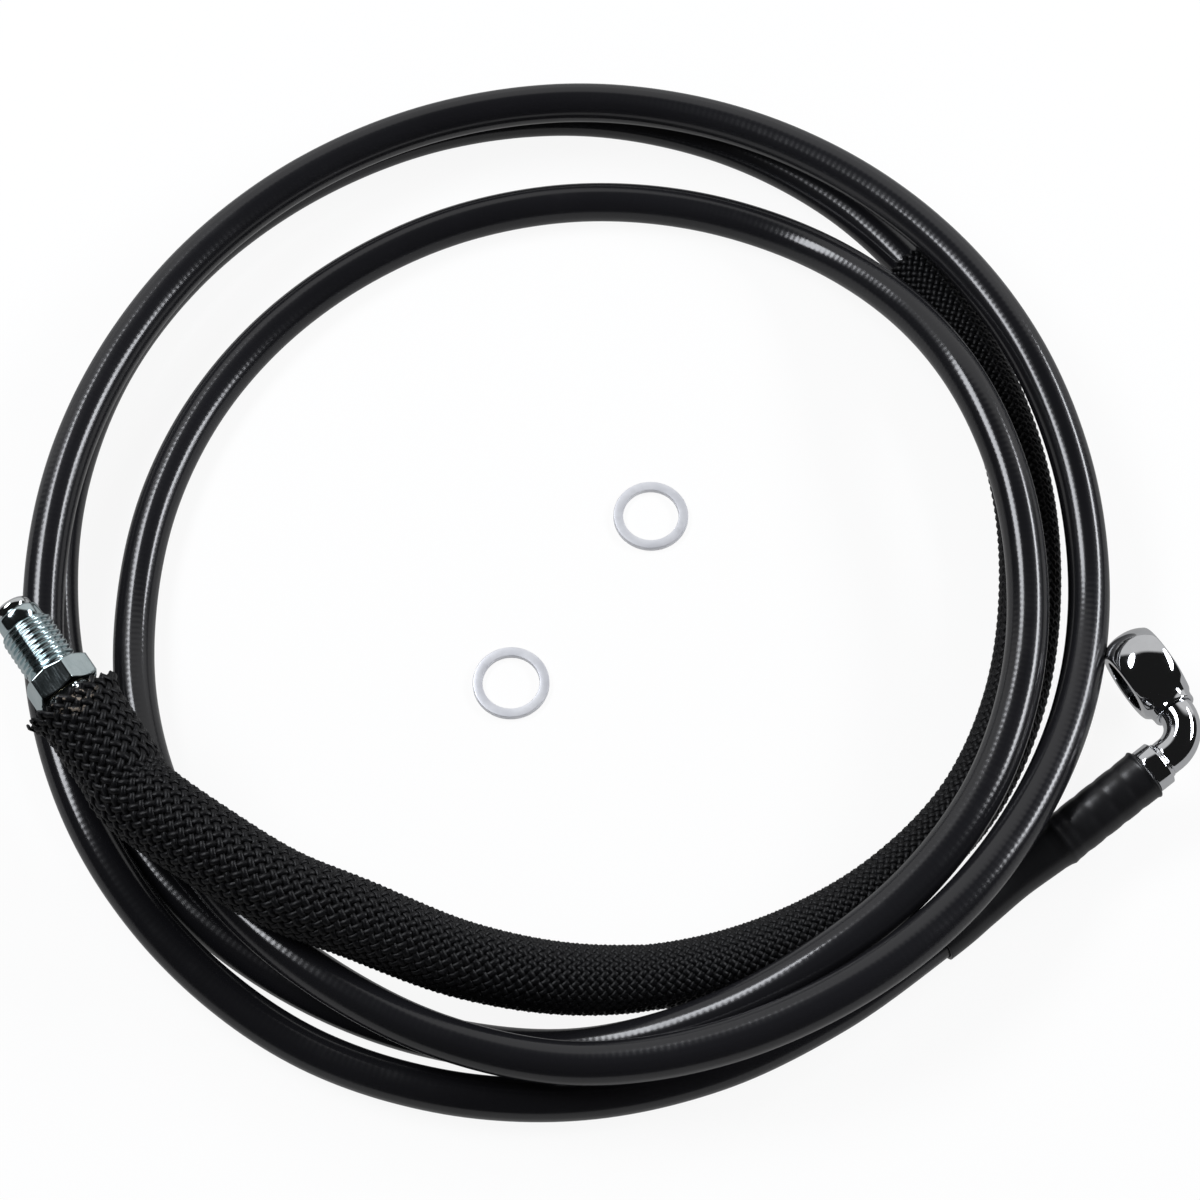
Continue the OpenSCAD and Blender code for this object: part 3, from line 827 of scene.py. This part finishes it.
flare_at = NUT_LEN + END_GAP
pipe_tail = [(-NUT_COLLAR - d, r) for d, r in tail_outline(END_BARREL_LEN)]
pipe_outline = pipe_tail[::-1] + [
    (-NUT_COLLAR, PIPE_R), (-SHOULDER_LEN - END_GAP, PIPE_R),
    (-SHOULDER_LEN - END_GAP, SHOULDER_R), (-END_GAP, SHOULDER_R), (-END_GAP, PIPE_R),
    (flare_at, PIPE_R),
    (flare_at, FLARE_R - 0.5), (flare_at + 0.1, FLARE_R - 0.2), (flare_at + 0.4, FLARE_R)]
dome_r = PIPE_BORE + 0.3
pipe_outline += [(flare_at + FLARE_LEN * (0.45 + 0.55 * math.sin(math.radians(a))),
                  dome_r + (FLARE_R - dome_r) * math.cos(math.radians(a)))
                 for a in range(0, 91, 9)]
pipe_outline += [(flare_at + FLARE_LEN - 0.05, PIPE_BORE + 0.12),
                 (flare_at + FLARE_LEN - 0.25, PIPE_BORE), (-1.5, PIPE_BORE),
                 (-1.5, TAIL_BORE), (pipe_tail[-1][0], TAIL_BORE)]
end_pipe = turned("flared_pipe", pipe_outline,
                  chrome_finish("bright_pipe", (0.74, 0.76, 0.77), 0.08), nut_place)
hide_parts("end_pipe")
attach(end_pipe, "hose")

# ----------------------------------------
# Tube nut
# Turned from cold drawn hexagon bar, with a rolled 3/8-24 thread between a
# relief and a plain pilot, bright zinc plated. It spins freely on the pipe.
# ----------------------------------------
HEX_AF = 11.1
HEX_EDGE = 0.42  # rounding of the hexagon's long edges
HEX_TURN = math.radians(103)
THREAD_R = 4.76
ROOT_R = 4.14
PITCH = 25.4 / 24
THREAD_FLAT = 0.1  # share of the pitch at crest and at root
RELIEF = 0.6  # plain neck between hexagon and thread
RUN_OUT = 0.9  # slope at which the thread grows and ends
BACK_CHAMFER, BACK_SLOPE = 0.34, 1.5
FRONT_CHAMFER, FRONT_SLOPE = 0.2, 1.6
PILOT_R = 4.0
NUT_BORE_R = 2.44
THREAD_STEPS = 24  # rings in each turn of the thread

edge_steps = np.radians([0, 0.7, 1.4, 3, 6, 10, 15, 20, 25])
face_steps = np.concatenate([edge_steps, math.pi / 3 - edge_steps[:0:-1], [math.pi / 6]])
nut_steps = np.sort(np.concatenate([face_steps + n * math.pi / 3 for n in range(6)]))


def hexagon_r(turn):
    """Radius of the bar at an angle from one of its corners."""
    off = np.abs((turn + math.pi / 6) % (math.pi / 3) - math.pi / 6)
    centre = (HEX_AF / 2 - HEX_EDGE) / math.cos(math.pi / 6)
    flat = HEX_AF / 2 / np.cos(math.pi / 6 - off)
    arc = np.sqrt(np.maximum(HEX_EDGE ** 2 - (centre * np.sin(off)) ** 2, 0))
    span = math.atan2(HEX_EDGE * 0.5, centre + HEX_EDGE * math.cos(math.pi / 6))
    return np.where(off < span, centre * np.cos(off) + arc, flat)


def thread_r(x, turn):
    """Radius of the right-hand thread, with its run-out at both of its ends."""
    phase = (x / PITCH - turn / (2 * math.pi)) % 1
    slope = np.clip((1 - np.abs(2 * phase - 1) - THREAD_FLAT) / (1 - 2 * THREAD_FLAT), 0, 1)
    crest = min(THREAD_R, ROOT_R + (x - HEX_LEN - RELIEF) * RUN_OUT,
                ROOT_R + (HEX_LEN + THREAD_LEN + 0.1 - x) * RUN_OUT)
    return np.minimum(ROOT_R + (THREAD_R - ROOT_R) * slope ** 2 * (3 - 2 * slope), crest)


nut_xs, nut_radii = [], []


def nut_ring(x, radius):
    nut_xs.append(x)
    nut_radii.append(radius)


nut_ring(0.0, NUT_BORE_R + 0.3)
# Rings of the hexagon are close together at its two chamfers
for x in [0, 0.05, *np.arange(0.12, 0.8, 0.08), 1.2, 2.4, 3.6,
          *np.arange(4.2, 4.86, 0.07), 4.86, HEX_LEN]:
    back = HEX_AF / 2 - BACK_CHAMFER + x * BACK_SLOPE if x > 0 else HEX_AF / 2 - 0.45
    front = HEX_AF / 2 - FRONT_CHAMFER + (HEX_LEN - x) * FRONT_SLOPE
    nut_ring(x, np.minimum(hexagon_r(nut_steps), min(back, front)))
nut_ring(HEX_LEN, ROOT_R + 0.25)
nut_ring(HEX_LEN + 0.06, ROOT_R + 0.06)
nut_ring(HEX_LEN + 0.2, ROOT_R)
for x in np.arange(HEX_LEN + RELIEF, HEX_LEN + THREAD_LEN + 0.12, PITCH / THREAD_STEPS):
    nut_ring(x, thread_r(x, nut_steps + HEX_TURN))
pilot_at = HEX_LEN + THREAD_LEN + 0.25
for x, radius in ((pilot_at, PILOT_R - 0.12), (pilot_at + 0.15, PILOT_R),
                  (NUT_LEN - 0.55, PILOT_R), (NUT_LEN - 0.3, PILOT_R - 0.08),
                  (NUT_LEN - 0.1, PILOT_R - 0.25), (NUT_LEN, PILOT_R - 0.5),
                  (NUT_LEN, NUT_BORE_R + 0.15), (NUT_LEN - 0.15, NUT_BORE_R),
                  (0.3, NUT_BORE_R)):
    nut_ring(x, radius)


DRAWN = 9.0  # length of a scratch to its width


def zinc_finish():
    """Bright zinc: cool and a little hazy, with drawn scratches along the bar."""
    made = new_material("bright_zinc")
    at = Socket.node("ShaderNodeTexCoord", output=3)
    along = Socket.node("ShaderNodeMapping", {"vector_type": "TEXTURE"},
                        {"Vector": at, "Location": nut_place.to_translation(),
                         "Rotation": nut_place.to_euler(), "Scale": (DRAWN, 1.0, 1.0)})
    scratch = noise(2600, 4, 0.7, along)
    haze = noise(330, 3)
    colour = mix(haze.smooth(0.3, 0.7), (0.5, 0.6, 0.62), (0.6, 0.69, 0.71))
    roughness = 0.07 + haze * 0.06 + scratch.smooth(0.45, 0.75) * 0.08
    return finish_material(made, scratch * 0.7 + haze * 0.5, 0.22, 0.00004, Base_Color=colour,
                           Metallic=1.0, Roughness=roughness)


nut_centres = [(x, 0, 0) for x in nut_xs]
nut = ring_mesh("flare_nut", nut_centres, [(0, 1, 0)] * len(nut_xs), nut_radii, zinc_finish(),
                nut_place, turns=nut_steps + HEX_TURN, crease=50)
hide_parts("tube_nut")
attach(nut, "nut")

# ----------------------------------------
# Braided sleeve
# Twenty black yarns each way, woven one over one round the hose's last 0.3 m.
# It lies close at first, opens out towards the nut, and is cut off there raw.
# ----------------------------------------
SLEEVE_LEN = 0.300
SLEEVE_R = 0.00545
MOUTH_R = 0.0074
SLEEVE_OVER = 0.0021  # how far it reaches over the nut's collar
MOUTH_RUN = 0.115
MOUTH_EASE = 0.0022  # from here on the raw edge stands out
PINCH_ONE, PINCH_OTHER = 0.0016, 0.001  # how far it does at either side
SHARP_ONE, SHARP_OTHER = 2.5, 4  # and how narrowly
YARNS = 20
YARN_LIFT = 0.00028
YARN_REST = 0.0003  # least height of a yarn's middle
YARN_LOOSE = 0.0003  # how far a loose end strays either way
YARN_SHORTEST = 0.997  # shortest yarn, as a share of the longest

sleeve_dense = np.linspace(HOSE_LENGTH - SLEEVE_LEN, HOSE_LENGTH + SLEEVE_OVER, 4000)
sleeve_ahead = HOSE_LENGTH - sleeve_dense
sleeve_open = np.clip(1 - sleeve_ahead / MOUTH_RUN, 0, 1) ** 0.6
dense_radius = SLEEVE_R - YARN_LIFT + (MOUTH_R - SLEEVE_R) * sleeve_open
# The yarns run at 45 degrees: how far each has wound round the sleeve
wound = np.concatenate([[0], np.cumsum(np.diff(sleeve_dense) / dense_radius[1:])])
quarter = math.pi / (2 * YARNS)
sleeve_wound = np.arange(0, wound[-1], quarter)
sleeve_at = np.interp(sleeve_wound, wound, sleeve_dense)
sleeve_radius = np.interp(sleeve_wound, wound, dense_radius)
past_end = np.maximum(sleeve_at - HOSE_LENGTH, 0)[:, None]
sleeve_line = line_at(np.minimum(sleeve_at, HOSE_LENGTH)) + nut_dir * past_end
sleeve_side, sleeve_up = frames(sleeve_line)


def braid_path(name):
    """The sleeve's line as a mesh of edges that carries radius, winding and directions."""
    mesh = bpy.data.meshes.new(name)
    count = len(sleeve_line)
    mesh.from_pydata([tuple(p) for p in sleeve_line], [(i, i + 1) for i in range(count - 1)], [])
    for key, values, kind in (("sleeve_r", sleeve_radius, "FLOAT"),
                              ("wound", sleeve_wound, "FLOAT"),
                              ("ahead", HOSE_LENGTH - sleeve_at, "FLOAT"),
                              ("across", sleeve_side, "FLOAT_VECTOR"),
                              ("upward", sleeve_up, "FLOAT_VECTOR")):
        attribute = mesh.attributes.new(key, kind, "POINT")
        attribute.data.foreach_set("value" if kind == "FLOAT" else "vector",
                                   np.asarray(values, dtype=np.float32).ravel())
    return in_scene(name, mesh)


def new_tree(name, inputs):
    """A geometry tree with named inputs: returns it, its input node and output node."""
    tree = bpy.data.node_groups.new(name, "GeometryNodeTree")
    tree.interface.new_socket("Geometry", in_out="INPUT", socket_type="NodeSocketGeometry")
    for label, kind, value in inputs:
        socket = tree.interface.new_socket(label, in_out="INPUT", socket_type=kind)
        if value is not None:
            socket.default_value = value
    tree.interface.new_socket("Geometry", in_out="OUTPUT", socket_type="NodeSocketGeometry")
    Socket.tree = tree
    source = tree.nodes.new("NodeGroupInput")
    given = {socket.name: Socket(socket) for socket in source.outputs if socket.name}
    return tree, given, tree.nodes.new("NodeGroupOutput")


def bake_tree(carrier, tree, values, name):
    """Runs a tree on an object and keeps the result as a plain mesh object."""
    modifier = carrier.modifiers.new("tree", "NODES")
    modifier.node_group = tree
    for item in tree.interface.items_tree:
        if item.in_out == "INPUT" and item.name in values:
            modifier[item.identifier] = values[item.name]
    graph = bpy.context.evaluated_depsgraph_get()
    mesh = bpy.data.meshes.new_from_object(carrier.evaluated_get(graph))
    mesh.name = name
    carrier.modifiers.remove(modifier)
    return in_scene(name, mesh)


def named(key, kind="FLOAT"):
    return Socket.node("GeometryNodeInputNamedAttribute", {"data_type": kind}, {"Name": key})


def yarn_tree():
    tree, given, output = new_tree("yarns", [
        ("Yarns", "NodeSocketInt", YARNS), ("Direction", "NodeSocketFloat", 1.0),
        ("Lift", "NodeSocketFloat", YARN_LIFT), ("Half Width", "NodeSocketFloat", 0.0006),
        ("Half Thickness", "NodeSocketFloat", 0.0003), ("Seed", "NodeSocketInt", 3),
        ("Material", "NodeSocketMaterial", None)])
    line = Socket.node("GeometryNodeMeshToCurve", {}, {"Mesh": given["Geometry"]})
    copies = Socket.node("GeometryNodeDuplicateElements", {"domain": "SPLINE"},
                         {"Geometry": line, "Amount": given["Yarns"]})
    number = Socket.node("GeometryNodeStoreNamedAttribute",
                         {"data_type": "INT", "domain": "CURVE"},
                         {"Geometry": copies, "Name": "yarn",
                          "Value": Socket(copies.out.node.outputs[1])})
    ragged = Socket.node("FunctionNodeRandomValue", {"data_type": "FLOAT"},
                         {2: YARN_SHORTEST, 3: 1.0, "ID": named("yarn", "INT"),
                          "Seed": given["Seed"]}, output=1)
    cut = Socket.node("GeometryNodeTrimCurve", {}, {"Curve": number, "End": ragged})
    wound_here = named("wound")
    angle = (wound_here * given["Direction"]
             + named("yarn", "INT") / given["Yarns"] * (2 * math.pi))
    outward = (named("across", "FLOAT_VECTOR").scaled(angle.cos())
               .vector("ADD", named("upward", "FLOAT_VECTOR").scaled(angle.sin())))
    over = (wound_here * given["Yarns"]).cos() * given["Direction"]
    # The raw mouth stands out at its two sides, where its fused edge was pinched
    flare = 1 - named("ahead").smooth(-SLEEVE_OVER, MOUTH_EASE)
    pinched = ((angle.cos().math("MAXIMUM", 0.0) ** SHARP_ONE) * PINCH_ONE
               + ((angle.cos() * -1).math("MAXIMUM", 0.0) ** SHARP_OTHER) * PINCH_OTHER)
    loose = Socket.node("FunctionNodeRandomValue", {"data_type": "FLOAT"},
                        {2: -YARN_LOOSE, 3: YARN_LOOSE, "ID": named("yarn", "INT"),
                         "Seed": given["Seed"] + 1}, output=1)
    radius = named("sleeve_r") + over * given["Lift"] + flare * (loose + pinched)
    position = Socket.node("GeometryNodeInputPosition")
    x, y, z = position.vector("ADD", outward.scaled(radius)).parts()
    rested = Socket.node("ShaderNodeCombineXYZ", {},
                         {0: x, 1: y, 2: z.math("MAXIMUM", YARN_REST)})
    wound_line = Socket.node("GeometryNodeSetPosition", {},
                             {"Geometry": cut, "Position": rested})
    # Written on each yarn, so that its flat side can be turned outwards
    kept = Socket.node("GeometryNodeStoreNamedAttribute",
                       {"data_type": "FLOAT_VECTOR", "domain": "POINT"},
                       {"Geometry": wound_line, "Name": "outward", "Value": outward})
    faced = Socket.node("GeometryNodeSetCurveNormal", {"mode": "FREE"},
                        {"Curve": kept, "Normal": named("outward", "FLOAT_VECTOR")})
    section = Socket.node("GeometryNodeCurvePrimitiveCircle", {"mode": "RADIUS"},
                          {"Resolution": 6, "Radius": 1.0})
    scale = Socket.node("ShaderNodeCombineXYZ", {},
                        {0: given["Half Thickness"], 1: given["Half Width"], 2: 1.0})
    flat = Socket.node("GeometryNodeTransform", {}, {"Geometry": section, "Scale": scale})
    swept = Socket.node("GeometryNodeCurveToMesh", {},
                        {"Curve": faced, "Profile Curve": flat, "Fill Caps": True})
    smooth = Socket.node("GeometryNodeSetShadeSmooth", {}, {"Geometry": swept})
    realised = Socket.node("GeometryNodeRealizeInstances", {}, {"Geometry": smooth})
    painted = Socket.node("GeometryNodeSetMaterial", {},
                          {"Geometry": realised, "Material": given["Material"]})
    Socket.tree.links.new(painted.out, output.inputs[0])
    return tree


def yarn_finish():
    made = new_material("black_yarn")
    fibre = noise(5200, 2, 0.6)
    tuft = noise(700, 3, 0.6)
    patch = noise(40, 2)
    colour = mix(fibre.smooth(0.42, 0.7), (0.0018, 0.0018, 0.0021), (0.0075, 0.0075, 0.009))
    colour = mix(tuft.smooth(0.6, 0.8) * 0.6, colour, (0.018, 0.018, 0.021))
    # Pale core threads show in a few places where the raw mouth has come undone
    mouth_top = tuple(sleeve_line[-1] + sleeve_up[-1] * MOUTH_R)
    from_mouth = Socket.node("ShaderNodeTexCoord", output=3).vector("DISTANCE", mouth_top, 1)
    undone = noise(950, 2).smooth(0.61, 0.65) * (1 - from_mouth.smooth(0.003, 0.0058))
    colour = mix(undone * 0.85, colour, (0.3, 0.25, 0.2))
    return finish_material(made, fibre * 0.8 + tuft * 0.5, 0.5, 0.00008, Base_Color=colour,
                           Roughness=0.36 + patch * 0.14, Specular_IOR_Level=0.22)


yarn_black = yarn_finish()
yarn_rule = yarn_tree()
sleeve_carrier = braid_path("sleeve_path")
sleeve_pieces = []
for label, direction, seed in (("sleeve_yarns_left", 1.0, 3), ("sleeve_yarns_right", -1.0, 11)):
    sleeve_pieces.append(bake_tree(sleeve_carrier, yarn_rule, {
        "Yarns": YARNS, "Direction": direction, "Seed": seed, "Material": yarn_black}, label))


# A near-black sheet just inside the yarns: painted shade for the inside of the sleeve and its mouth,
# with a faint speckle
SHADE_SHEET_SIDES = 32
SHADE_SHEET_BEHIND = 0.00022
SHADE_SHEET_WALL = 0.00033
SHADE_SHEET_REST = 0.00035
SHADE_SHEET_SHORT = 2  # rings by which it stops short of the mouth


def shade_sheet_finish():
    made = new_material("sleeve_shade")
    shade_speckle = noise(1500, 2)
    colour = mix(shade_speckle, (0.004, 0.004, 0.0045), (0.012, 0.012, 0.013))
    return finish_material(made, shade_speckle, 0.5, 0.0001, Base_Color=colour, Roughness=0.8)


# Rings of the painted shade sheet every few crossings, and close together near the mouth, where it
# follows the yarns out
near_mouth = len(sleeve_line) - 16
shade_sheet_at = np.concatenate([np.arange(0, near_mouth, 6),
                            np.arange(near_mouth, len(sleeve_line) - SHADE_SHEET_SHORT)])
shade_sheet_line, shade_sheet_radius = sleeve_line[shade_sheet_at], sleeve_radius[shade_sheet_at]
shade_sheet_turn = 2 * np.pi * (np.arange(SHADE_SHEET_SIDES) + 0.5) / SHADE_SHEET_SIDES - np.pi / 2
shade_sheet_flare = np.clip((MOUTH_EASE - HOSE_LENGTH + sleeve_at[shade_sheet_at])
                       / (MOUTH_EASE + SLEEVE_OVER), 0, 1)
shade_sheet_out = ((shade_sheet_flare ** 2 * (3 - 2 * shade_sheet_flare))[:, None]
              * (PINCH_ONE * np.maximum(np.cos(shade_sheet_turn), 0) ** SHARP_ONE
                 + PINCH_OTHER * np.maximum(-np.cos(shade_sheet_turn), 0) ** SHARP_OTHER)[None])
shade_sheet = tube_mesh("sleeve_shade_sheet", shade_sheet_line, shade_sheet_radius - SHADE_SHEET_BEHIND, SHADE_SHEET_SIDES,
                   shade_sheet_finish(), floor_z=SHADE_SHEET_REST, wobble=shade_sheet_out,
                   inner=np.maximum(shade_sheet_radius - SHADE_SHEET_BEHIND - SHADE_SHEET_WALL,
                                    HOSE_R + 0.00012))
sleeve_pieces.append(shade_sheet)
bpy.data.objects.remove(sleeve_carrier)
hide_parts("braided_sleeve")
for piece in sleeve_pieces:
    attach(piece, "hose")

# ----------------------------------------
# Crush washers
# Two soft aluminium rings, stamped from sheet, for the two faces of the eye.
# The press leaves their upper edge rounded and their lower one square.
# ----------------------------------------
WASHER_R = 7.0
WASHER_BORE_R = 5.2
WASHER_T = 1.0
WASHER_EASES = (0.08, 0.3, 0.22, 0.08)  # outer edge below and above, then the bore's above and below
WASHERS_AT = ((0.0091, 0.0316), (-0.0166, -0.0024))


def washer_finish():
    made = new_material("stamped_aluminium")
    grain = noise(900, 4, 0.6)
    dull = noise(220, 3)
    colour = mix(dull.smooth(0.3, 0.7), (0.9, 0.91, 0.94), (0.82, 0.83, 0.87))
    return finish_material(made, grain * 0.4 + dull * 0.7, 0.25, 0.00006, Base_Color=colour,
                           Metallic=0.45 + dull * 0.2, Roughness=0.3 + grain * 0.14)


washer_aluminium = washer_finish()
washer_outline = eased([(0, WASHER_R), (WASHER_T, WASHER_R), (WASHER_T, WASHER_BORE_R),
                        (0, WASHER_BORE_R)], WASHER_EASES)
for number, (x, y) in enumerate(WASHERS_AT, start=1):
    washer = turned(f"washer_{number}", washer_outline, washer_aluminium,
                    Matrix.Translation((x, y, 0)) @ Matrix.Rotation(-math.pi / 2, 4, "Y"))
    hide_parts(f"crush_washer_{number}")
    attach(washer, f"washer_{number}")
